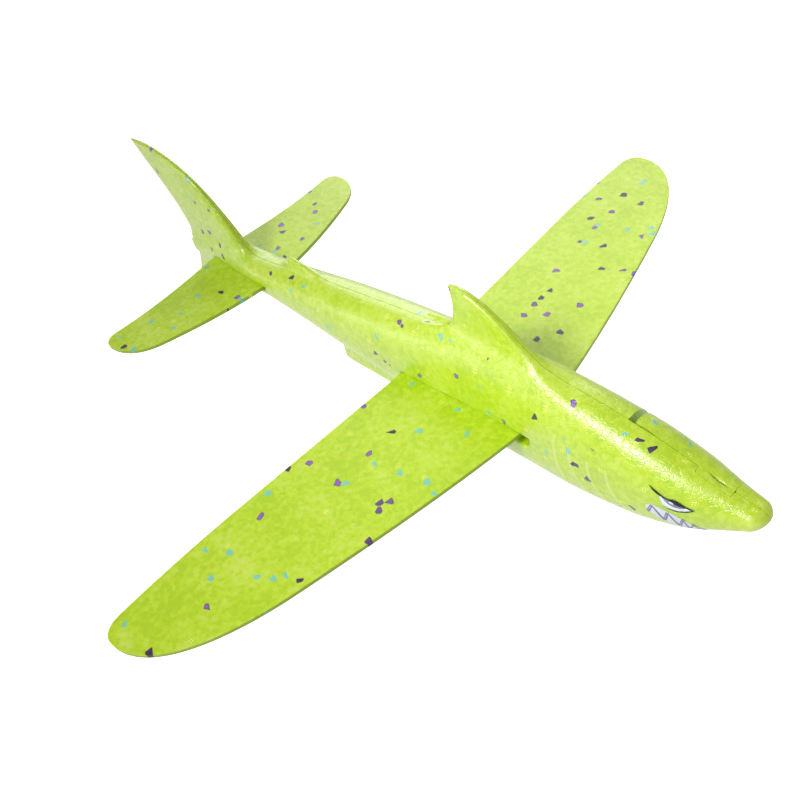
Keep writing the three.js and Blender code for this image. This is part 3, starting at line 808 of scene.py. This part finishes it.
def mouth_prints():
    """The mouth: a pale leaf of film with a zigzag of teeth drawn on it."""
    leaf = closed_outline(
        (132.9, -5.0),
        (8, (132.6, -1.6), (136.0, -0.2)),
        (20, (145.0, -1.2), (154.0, -3.0), (162.6, -9.6)),
        (20, (152.0, -13.8), (140.0, -13.4), (132.9, -5.0)),
    )
    prints = [("mouth_film", leaf, 0, "lavender")]
    for i, (start, end) in enumerate(zip(ZIGZAG[:-1], ZIGZAG[1:])):
        pair = i // 2
        rising = i % 2 == 0
        widths = [RISING_WIDTHS[pair]] * 2 if rising else FALLING_WIDTHS[pair]
        path = np.linspace(start, end, 8)
        prints.append((f"tooth_line_{i + 1}", stroke(path, widths), 1 + i % 2, "slate"))
        if rising:
            core = stroke(np.linspace(path[1], path[-2], 6), [widths[0] * CORE_SHARE] * 2)
            prints.append((f"tooth_core_{pair + 1}", core, 3, "pale_slate"))
    tail = stroke(bend(ZIGZAG[-1], (160.8, -9.6), (162.3, -9.6), count=8), [0.35, 0.3, 0.15])
    prints.append(("tooth_line_tail", tail, 1, "slate"))
    return prints


def build_films():
    """The eye and the mouth, in layers, on both sides of the head."""
    looks = {name: print_material(f"print_{name}", *inks) for name, inks in INKS.items()}
    for side, label, body in ((1, "left", "hatch"), (-1, "right", "fuselage")):
        for prints, node, slot in ((eye_prints(), "eye_decal_", "eye_film"),
                                   (mouth_prints(), "teeth_decal_", "teeth_film")):
            for name, outline, layer, look in prints:
                piece = film_piece(f"{name}_{label}", outline, side, layer, looks[look])
                place(piece, body, slot, node + label)


# ------------ shader graphs

class Graph:
    """A short way to write a shader: each method adds a node and returns its output."""

    def __init__(self, name):
        self.material = bpy.data.materials.new(name)
        self.material.use_nodes = True
        self.tree = self.material.node_tree
        self.surface = next(n for n in self.tree.nodes if n.type == "BSDF_PRINCIPLED")
        self.position = self.millimetres()

    def put(self, socket, value):
        """Links another node's output to the socket, or sets its value."""
        if isinstance(value, bpy.types.NodeSocket):
            self.tree.links.new(value, socket)
        elif socket.type == "RGBA" and len(value) == 3:
            socket.default_value = (*value, 1)
        else:
            socket.default_value = value

    def node(self, kind, settings, inputs, output=0):
        node = self.tree.nodes.new(kind)
        for key, value in settings.items():
            setattr(node, key, value)
        for key, value in inputs.items():
            self.put(node.inputs[key], value)
        return node.outputs[output]

    def math(self, operation, a, b=0.0):
        return self.node("ShaderNodeMath", {"operation": operation}, {0: a, 1: b})

    def times(self, first, *others):
        for value in others:
            first = self.math("MULTIPLY", first, value)
        return first

    def weighted(self, *pairs):
        """The sum of some values, each times its weight."""
        total = self.times(*pairs[0])
        for value, weight in pairs[1:]:
            total = self.math("ADD", total, self.times(value, weight))
        return total

    def mix(self, share, a, b):
        return self.node("ShaderNodeMix", {"data_type": "RGBA"}, {0: share, 6: a, 7: b}, 2)

    def step(self, value, low, high):
        """0 below low, 1 above high, smooth between; low above high turns it round."""
        return self.node("ShaderNodeMapRange", {"interpolation_type": "SMOOTHSTEP"},
                         {"Value": value, "From Min": low, "From Max": high})

    def millimetres(self):
        """The row frame in millimetres, carried along with the piece."""
        metres = self.node("ShaderNodeTexCoord", {}, {}, "Object")
        return self.node("ShaderNodeVectorMath", {"operation": "SCALE"}, {0: metres, "Scale": 1000.0})

    def noise(self, scale, detail, roughness=0.5, factors=None):
        """Noise over the piece: a greater scale makes it finer, and factors do so along x, y and z."""
        vector = self.position
        if factors:
            vector = self.node("ShaderNodeMapping", {}, {"Vector": vector, "Scale": factors})
        return self.node("ShaderNodeTexNoise", {},
                         {"Vector": vector, "Scale": scale, "Detail": detail, "Roughness": roughness})

    def split(self, vector):
        node = self.tree.nodes.new("ShaderNodeSeparateXYZ")
        self.put(node.inputs[0], vector)
        return node.outputs

    def cells(self, vector, size, dimensions, randomness):
        """A cell pattern: each cell's own colour, and the distance to its border."""
        inputs = {"Vector": vector, "Scale": 1 / size, "Randomness": randomness}
        outputs = []
        for feature, output in (("F1", "Color"), ("DISTANCE_TO_EDGE", "Distance")):
            settings = {"feature": feature, "voronoi_dimensions": dimensions}
            outputs.append(self.node("ShaderNodeTexVoronoi", settings, inputs, output))
        return outputs

    def upright(self):
        """How far the bare surface faces up: 1 on a level top, 0 on a wall, -1 underneath."""
        return self.split(self.node("ShaderNodeNewGeometry", {}, {}, "True Normal"))[2]

    def bump(self, height, distance):
        return self.node("ShaderNodeBump", {}, {"Height": height, "Distance": distance, "Strength": 1.0})

    def finish(self, **inputs):
        for key, value in inputs.items():
            self.put(self.surface.inputs[key.replace("_", " ")], value)
        return self.material


# ------------ lime bead foam

LIME = (0.55, 0.76, 0.008)
LIME_DEEP = (0.45, 0.68, 0.001)
LIME_PALE = (0.74, 0.87, 0.20)
# painted shade, laid as a dark line along the bottom of the crease over the tongue
PAINTED_CREASE_SHADE = (0.05, 0.10, 0.0)
# painted shade for the sheets' square edge walls, darker than the lit tops
EDGE_WALL_SHADE = (0.30, 0.44, 0.02)
VENT_YELLOW = (0.93, 1.0, 0.16)
CHIP_VIOLET = (0.28, 0.11, 0.56)
CHIP_PLUM = (0.045, 0.015, 0.085)
CHIP_DARK = (0.03, 0.012, 0.045)
CHIP_CYAN = (0.18, 0.62, 0.55)

# Sizes in mm
BEAD_SIZE = 3.0
VENT_RADIUS = 2.0
VENT_RIM = 0.3
VENT_DOT_PITCH = 1.3
VENT_DOT_RADII = (0.55, 0.32)  # at its foot and at its top
CREASE_SHADE_HALF_WIDTHS = (0.40, 0.15)  # half width of the painted crease shade, with its soft rim and without
CREASE_FADE = (3, 6)  # the painted shade fades in over this much at its rear, and out at its front

PRESSED_SKIN = {  # of the flat sheets; border, mottle, grain and tone are heights in its relief
    "dimensions": "2D", "chip_size": 4.1, "purple_share": 0.018, "cyan_share": 0.012,
    "chip_offset": (25, 61, 0), "vent_pitch": (58.0, 47.0), "border_tint": 0.08,
    "border": -0.5, "mottle": 1.4, "grain": 0.7, "tone": 0.4, "relief": 0.00014,
    "roughness": 0.34, "specular": 0.6, "coat": 0.25,
}
MOULDED_SKIN = {  # of the body
    "dimensions": "3D", "chip_size": 3.7, "purple_share": 0.012, "cyan_share": 0.011,
    "chip_offset": (3, 14, 6), "vent_pitch": (24.0, 20.0), "border_tint": 0.16,
    "border": -0.8, "mottle": 0.5, "grain": 0.15, "tone": 0.2, "relief": 0.00008,
    "roughness": 0.30, "specular": 1.0, "coat": 0.9,
}


def chips(graph, skin):
    """The odd dyed beads: angular violet to plum ones, and soft cyan ones, as masks and a colour."""
    inputs = {"Vector": graph.position, "Location": skin["chip_offset"]}
    shifted = graph.node("ShaderNodeMapping", {}, inputs)
    colours, edges = graph.cells(shifted, skin["chip_size"], skin["dimensions"], 0.75)
    pick, tone = graph.split(colours)[:2]
    purple_end = skin["purple_share"]
    cyan_end = purple_end + skin["cyan_share"]
    is_purple = graph.math("LESS_THAN", pick, purple_end)
    purple = graph.times(is_purple, graph.step(edges, 0.05, 0.08))
    dye = graph.mix(graph.step(tone, 0.25, 0.85), CHIP_PLUM, CHIP_VIOLET)
    dye = graph.mix(graph.step(edges, 0.08, 0.20), CHIP_DARK, dye)
    above = graph.math("GREATER_THAN", pick, purple_end)
    below = graph.math("LESS_THAN", pick, cyan_end)
    cyan = graph.times(above, below, graph.step(edges, 0.05, 0.16))
    return purple, dye, cyan


def vents(graph, position, skin):
    """Small round groups of raised dots, left by the mould's steam vents, on a staggered grid."""
    x, y = graph.split(position)[:2]
    pitch_x, pitch_y = skin["vent_pitch"]

    def centred(value, pitch):
        """The value within its own repeat of the pattern, counted from the middle."""
        return graph.math("SUBTRACT", graph.math("FLOORED_MODULO", value, pitch), pitch / 2)

    def length(a, b):
        return graph.math("SQRT", graph.math("ADD", graph.times(a, a), graph.times(b, b)))

    row = graph.math("FLOOR", graph.math("DIVIDE", y, pitch_y))
    stagger = graph.times(graph.math("FLOORED_MODULO", row, 2.0), pitch_x / 2)
    local_x = centred(graph.math("ADD", x, stagger), pitch_x)
    local_y = centred(y, pitch_y)
    group = graph.step(length(local_x, local_y), VENT_RADIUS, VENT_RADIUS - VENT_RIM)
    dot_x = centred(local_x, VENT_DOT_PITCH)
    dot_y = centred(local_y, VENT_DOT_PITCH)
    return graph.times(group, graph.step(length(dot_x, dot_y), *VENT_DOT_RADII))


def painted_crease_shade(graph):
    """Painted shade: a thin dark line along the bottom of the crease over the tongue, on the upper skin
    only.
    """
    x, y, z = graph.split(graph.position)[:3]
    rear, front = (end + ORIGIN[0] for end in CREASE)
    return graph.times(
        graph.step(graph.math("ABSOLUTE", y), *CREASE_SHADE_HALF_WIDTHS),
        graph.step(x, rear, rear + CREASE_FADE[0]),
        graph.step(x, front, front - CREASE_FADE[1]),
        graph.math("GREATER_THAN", z, ORIGIN[2]),
        graph.step(graph.upright(), 0.4, 0.7),
    )


def foam_material(name, sheet):
    """Lime bead foam. On a sheet the beads are pressed flat and the surface is finely mottled."""
    skin = PRESSED_SKIN if sheet else MOULDED_SKIN
    graph = Graph(name)
    bead_colours, borders = graph.cells(graph.position, BEAD_SIZE, skin["dimensions"], 0.9)
    border = graph.step(borders, 0.10, 0.0)
    broad = graph.noise(1 / 30, 3)
    mottle = graph.noise(1 / 3.2, 5, 0.62)
    grain = graph.noise(1 / 0.7, 3)
    tone = graph.split(bead_colours)[1]
    blend = graph.weighted((broad, 0.6), (mottle, 0.8), (tone, 0.16))
    colour = graph.mix(graph.step(blend, 0.60, 0.82), LIME_DEEP, LIME)
    colour = graph.mix(graph.times(graph.step(blend, 0.74, 1.02), 0.45), colour, LIME_PALE)
    colour = graph.mix(graph.times(border, skin["border_tint"]), colour, LIME_DEEP)
    purple, dye, cyan = chips(graph, skin)
    if sheet:
        marks = vents(graph, graph.position, skin)
        # painted shade: the sideways-facing edge walls of a sheet are coloured darker olive
        shaded_edge_wall = graph.step(graph.math("ABSOLUTE", graph.upright()), 0.5, 0.2)
        colour = graph.mix(graph.times(shaded_edge_wall, 0.8), colour, EDGE_WALL_SHADE)
    else:
        wrap = graph.node("ShaderNodeAttribute", {"attribute_name": "wrap"}, {}, "Vector")
        gill = graph.node("ShaderNodeAttribute", {"attribute_name": "gill"}, {}, "Fac")
        off_centre = graph.math("ABSOLUTE", graph.split(graph.position)[1])
        marks = graph.times(vents(graph, wrap, skin), graph.step(off_centre, 1.0, 2.0))
        # painted highlight: the raised gill lines are coloured paler, as if they caught the light
        colour = graph.mix(graph.times(gill, 0.75), colour, LIME_PALE)
    colour = graph.mix(marks, colour, VENT_YELLOW)
    colour = graph.mix(graph.times(cyan, 0.9), colour, CHIP_CYAN)
    colour = graph.mix(purple, colour, dye)
    # the crease's shade is painted in as a dark line
    if not sheet:
        colour = graph.mix(painted_crease_shade(graph), colour, PAINTED_CREASE_SHADE)
    height = graph.weighted((border, skin["border"]), (mottle, skin["mottle"]), (grain, skin["grain"]),
                            (tone, skin["tone"]), (marks, 0.8))
    relief = graph.bump(height, skin["relief"])
    roughness = graph.math("ADD", graph.times(mottle, 0.16), skin["roughness"])
    return graph.finish(Base_Color=colour, Roughness=roughness, Normal=relief, IOR=1.47,
                        Specular_IOR_Level=skin["specular"],
                        Coat_Weight=skin["coat"], Coat_Roughness=0.25, Coat_Normal=relief,
                        Sheen_Weight=0.1, Sheen_Roughness=0.4, Sheen_Tint=(0.95, 1.0, 0.8, 1.0))


# ------------ print, plastic, metal and resin

def print_material(name, ink, thin_ink):
    """Print on satin film: the ink lies a little unevenly and the film has a fine grain."""
    graph = Graph(name)
    uneven = graph.noise(1 / 1.8, 3)
    grain = graph.noise(4, 2)
    colour = graph.mix(graph.step(uneven, 0.4, 0.75), ink, thin_ink)
    roughness = graph.math("ADD", graph.times(grain, 0.15), 0.28)
    return graph.finish(Base_Color=colour, Roughness=roughness, Normal=graph.bump(grain, 0.00002))


def moulded_plastic(name, colour, worn_colour):
    """Moulded plastic: a fine spark-eroded grain, faint flow marks and paler scuffs."""
    graph = Graph(name)
    flow = graph.noise(1, 3, factors=(0.08, 0.5, 0.5))
    grain = graph.noise(3.5, 3)
    scuffs = graph.noise(1, 5, 0.7, (0.3, 2.2, 1.4))
    look = graph.mix(graph.step(scuffs, 0.60, 0.72), colour, worn_colour)
    look = graph.mix(graph.times(flow, 0.25), look, worn_colour)
    roughness = graph.math("ADD", graph.times(grain, 0.25), 0.32)
    return graph.finish(Base_Color=look, Roughness=roughness, Normal=graph.bump(grain, 0.00003))


def plated_metal(name, colour, dull_colour, brushed):
    """Plated steel, with drawing marks along one direction and a little tarnish."""
    graph = Graph(name)
    marks = graph.noise(1, 4, 0.6, brushed)
    tarnish = graph.noise(1 / 2.4, 4, 0.6)
    look = graph.mix(graph.step(tarnish, 0.42, 0.75), colour, dull_colour)
    roughness = graph.math("ADD", graph.times(marks, 0.22), 0.16)
    roughness = graph.math("ADD", roughness, graph.times(graph.step(tarnish, 0.4, 0.8), 0.2))
    return graph.finish(Base_Color=look, Metallic=1.0, Roughness=roughness,
                        Normal=graph.bump(marks, 0.00001))


def board_material():
    """A brown paper-based circuit board, with fibres showing through its lacquer."""
    graph = Graph("board_laminate")
    weave = graph.noise(1, 4, 0.65, (3.0, 1.0, 0.6))
    blotches = graph.step(graph.noise(1 / 3.0, 3), 0.4, 0.8)
    look = graph.mix(graph.step(weave, 0.35, 0.7), (0.20, 0.085, 0.022), (0.33, 0.16, 0.05))
    look = graph.mix(graph.times(blotches, 0.4), look, (0.12, 0.05, 0.015))
    roughness = graph.math("ADD", graph.times(weave, 0.2), 0.3)
    return graph.finish(Base_Color=look, Roughness=roughness, Normal=graph.bump(weave, 0.00002),
                        Coat_Weight=0.3, Coat_Roughness=0.2)


def lamp_material():
    """The lamp's clear resin, very slightly milky and uneven."""
    graph = Graph("clear_resin")
    haze = graph.noise(1 / 1.6, 3)
    look = graph.mix(graph.step(haze, 0.3, 0.8), (0.96, 0.98, 1.0), (0.86, 0.91, 0.97))
    roughness = graph.math("ADD", graph.times(haze, 0.12), 0.04)
    return graph.finish(Base_Color=look, Roughness=roughness, Transmission_Weight=0.85, IOR=1.53,
                        Normal=graph.bump(haze, 0.00001))


# ------------ the light unit behind the hatch

def finish_node(node, material, edge):
    """Gives a CAD node its material, and slightly rounded edges."""
    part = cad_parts[node]
    part.data.materials.clear()
    part.data.materials.append(material)
    rounding = part.modifiers.new("rounded_edges", "BEVEL")
    rounding.width = edge / 1000
    rounding.segments = 2
    rounding.limit_method = "ANGLE"
    rounding.angle_limit = CRISP_ANGLE
    rounding.harden_normals = True


def finish_light_unit():
    """The CAD parts behind the hatch: for each its material and how far its edges are rounded, in mm."""
    case = moulded_plastic("black_moulding", (0.012, 0.012, 0.014), (0.045, 0.045, 0.050))
    knob = moulded_plastic("black_knob", (0.008, 0.008, 0.009), (0.030, 0.030, 0.034))
    steel = plated_metal("nickel_plate", (0.66, 0.65, 0.62), (0.40, 0.38, 0.34), (0.4, 3.0, 3.0))
    screw = plated_metal("zinc_plate", (0.58, 0.60, 0.63), (0.34, 0.34, 0.33), (3.0, 0.6, 3.0))
    can = plated_metal("cell_can", (0.74, 0.73, 0.70), (0.50, 0.48, 0.44), (0.3, 2.0, 2.0))
    looks = [
        (case, {"light_case": 0.15, "light_lid": 0.12}),
        (knob, {"switch_knob": 0.12}),
        (steel, {"negative_spring": 0.03, "positive_contact": 0.05, "switch_housing": 0.10}),
        (steel, {"led_lead_anode": 0.05, "led_lead_cathode": 0.05}),
        (screw, {"lid_screw": 0.06}),
        (can, {f"battery_cell_{i}": 0.10 for i in (1, 2, 3)}),
        (board_material(), {"circuit_board": 0.05}),
        (lamp_material(), {"led_lamp": 0.04}),
    ]
    for material, edges in looks:
        for node, edge in edges.items():
            finish_node(node, material, edge)


# ------------ floor, light and camera

FLOOR_Z = -0.80
FLOOR_HALF_SIZE = 40.0
FLOOR_GLOW = 0.40  # the floor is lit from below like a light table
WORLD_GLOW = 0.28

LIGHTS = [  # name, position, what it points at, width in m, power in W, spread in degrees
    ("key", (0.07, -0.81, 1.05), (0.15, 0.12, 0.04), 0.65, 1.15, 40),
    ("backdrop", (-1.3, 1.5, 1.1), (0, 0, 0.04), 2.0, 24, 180),
    ("tail_fill", (-1.1, -1.1, 0.25), (-0.22, 0, 0.08), 0.9, 0.24, 32),
]

CAMERA_POSITION = (0.3386, -0.2459, 0.4045)
CAMERA_FORWARD = Vector((-0.5844, 0.407, -0.702))
CAMERA_RIGHT = Vector((0.7135, 0.6698, -0.2056))
CAMERA_LENS = 39.78  # in mm, for a sensor 36 mm wide


def brighter_in_view(graph, glow):
    """A glow for lighting, raised to plain white where the camera looks straight at it."""
    seen = graph.node("ShaderNodeLightPath", {}, {}, "Is Camera Ray")
    return graph.math("ADD", glow, graph.times(seen, 1.0 - glow))


def build_stage():
    """A wide pale floor, well below the toy."""
    graph = Graph("pale_floor")
    tone = graph.noise(1 / 900, 2)
    colour = graph.mix(tone, (0.93, 0.93, 0.93), (0.97, 0.97, 0.97))
    material = graph.finish(Base_Color=colour, Roughness=0.9, Emission_Color=(1, 1, 1, 1),
                            Emission_Strength=brighter_in_view(graph, FLOOR_GLOW))
    half = FLOOR_HALF_SIZE
    corners = [(x * half, y * half, FLOOR_Z) for x, y in ((-1, -1), (1, -1), (1, 1), (-1, 1))]
    mesh = bpy.data.meshes.new("floor")
    mesh.from_pydata(corners, [], [(0, 1, 2, 3)])
    mesh.materials.append(material)
    add_object("floor", mesh)


def area_light(name, position, target, size, power, spread):
    """A round softbox; a narrow spread keeps its light near its axis."""
    light = bpy.data.lights.new(name, "AREA")
    light.shape = "DISK"
    light.size = size
    light.energy = power
    light.spread = np.radians(spread)
    lamp = add_object(name, light)
    lamp.location = position
    lamp.rotation_euler = (Vector(target) - Vector(position)).to_track_quat("-Z", "Y").to_euler()


def build_light():
    """A dim white world that the camera sees as plain white, and the softboxes."""
    world = bpy.data.worlds.new("studio")
    world.use_nodes = True
    tree = world.node_tree
    background = tree.nodes["Background"]
    background.inputs["Color"].default_value = (1, 1, 1, 1)
    seen = tree.nodes.new("ShaderNodeLightPath")
    strength = tree.nodes.new("ShaderNodeMapRange")
    strength.inputs["To Min"].default_value = WORLD_GLOW
    strength.inputs["To Max"].default_value = 1.0
    tree.links.new(seen.outputs["Is Camera Ray"], strength.inputs["Value"])
    tree.links.new(strength.outputs["Result"], background.inputs["Strength"])
    bpy.context.scene.world = world
    for light in LIGHTS:
        area_light(*light)


def build_camera():
    """Looks down on the nose from ahead and from the right."""
    camera = bpy.data.cameras.new("camera")
    camera.sensor_width = 36
    camera.lens = CAMERA_LENS
    camera.clip_start = 0.01
    view = add_object("camera", camera)
    view.location = CAMERA_POSITION
    up = CAMERA_RIGHT.cross(CAMERA_FORWARD)
    rotation = Matrix((CAMERA_RIGHT, up, -CAMERA_FORWARD)).transposed()
    view.rotation_euler = rotation.to_euler()
    bpy.context.scene.camera = view


# ------------ putting it together

build_foam_body(foam_material("bead_foam", sheet=False))
build_sheets(foam_material("pressed_foam", sheet=True))
build_films()
finish_light_unit()
build_stage()
build_light()
build_camera()
bpy.context.scene.view_settings.view_transform = "Standard"
